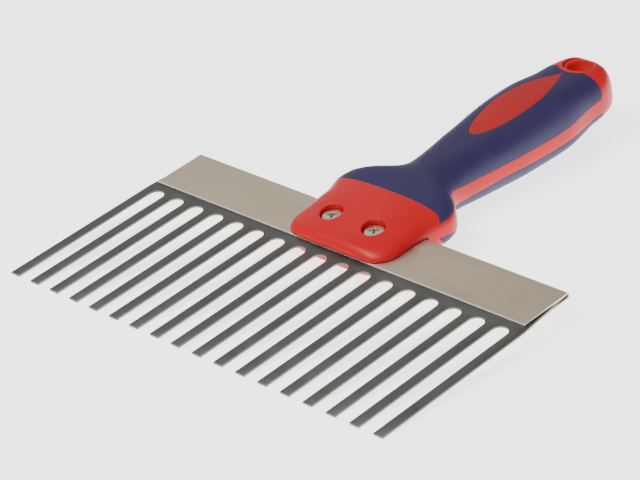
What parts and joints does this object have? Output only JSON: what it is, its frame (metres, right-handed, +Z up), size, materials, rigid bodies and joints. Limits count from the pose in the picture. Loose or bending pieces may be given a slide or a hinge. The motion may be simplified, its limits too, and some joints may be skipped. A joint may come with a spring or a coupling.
{
  "type": "plaster scarifier comb",
  "caption": "Plasterer's scarifier comb: flat steel comb with straight tines, held by a folded steel strip and cross-recess screws in a red and blue soft-grip handle with a hang hole.",
  "frame": {"origin": "middle of the base of the resting tool's bounding box, at bench level", "axes": "+Y from the tine tips towards the handle's end, +X along the comb to the right, +Z up"},
  "size_m": [0.2, 0.2347, 0.0304],
  "materials": {
    "comb_steel": "rolled dark spring steel",
    "strip_steel": "satin, warm grey",
    "hard_red": "semi-gloss moulded plastic",
    "soft_blue": "matte soft-touch",
    "screw_steel": "zinc-plated, warm"
  },
  "bodies": {
    "root": {"comb_blade": "comb_steel", "back_strip": "strip_steel", "handle_core": "hard_red", "grip_upper": "soft_blue", "grip_lower": "soft_blue", "screw_left": "screw_steel", "screw_right": "screw_steel"}
  },
  "joints": []
}
